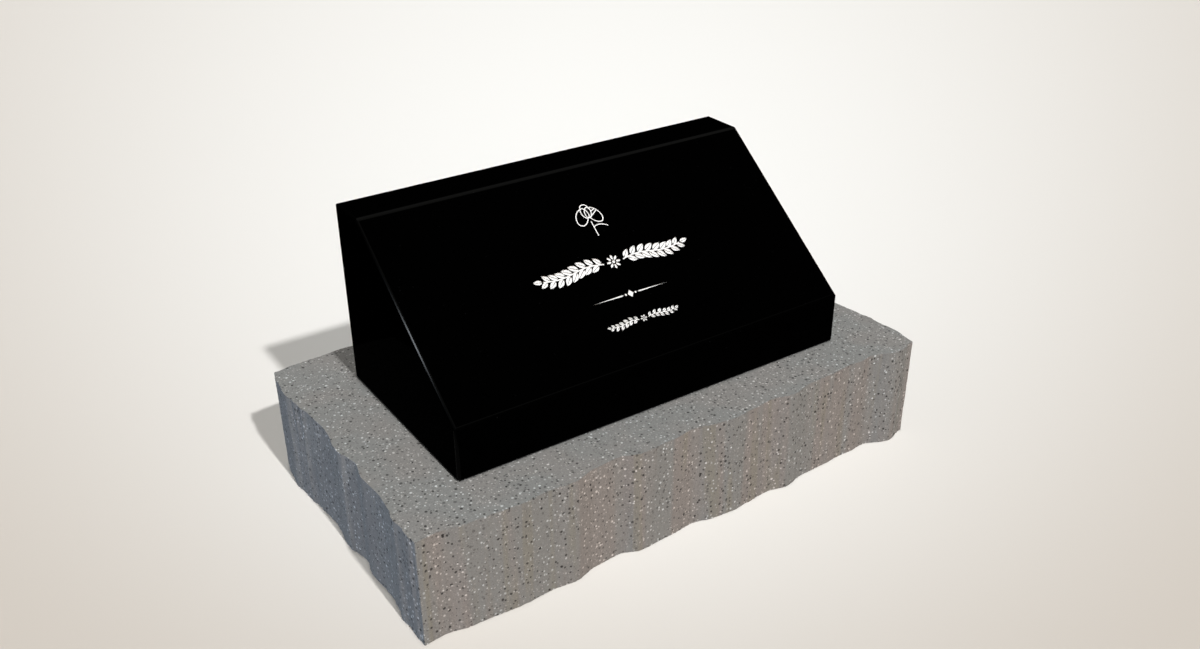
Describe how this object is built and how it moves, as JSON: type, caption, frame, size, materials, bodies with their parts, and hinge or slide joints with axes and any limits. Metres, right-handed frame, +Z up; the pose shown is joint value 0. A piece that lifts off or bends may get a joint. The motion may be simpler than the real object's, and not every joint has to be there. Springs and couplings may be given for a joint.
{
  "type": "slant grave marker",
  "caption": "Polished slant tablet of black stone set on a wider grey granite base with pitched sides, for marking a grave.",
  "frame": {"origin": "on the ground, under the middle of the base's bounding box", "axes": "+X to the right as seen from the front, along the length of the base; +Y from front to back; +Z up"},
  "size_m": [0.809, 0.4624, 0.409],
  "materials": {
    "grey_granite": "steeled top, pitched sides, speckled",
    "black_granite": "polished",
    "setting_compound": "matt",
    "spacer": "matt"
  },
  "bodies": {
    "root": {"granite_base": "grey_granite", "slant_tablet": "black_granite", "compound_front": "setting_compound", "compound_back": "setting_compound", "compound_left": "setting_compound", "compound_right": "setting_compound", "spacer_front_left": "spacer", "spacer_front_right": "spacer", "spacer_back_left": "spacer", "spacer_back_right": "spacer"}
  },
  "joints": []
}
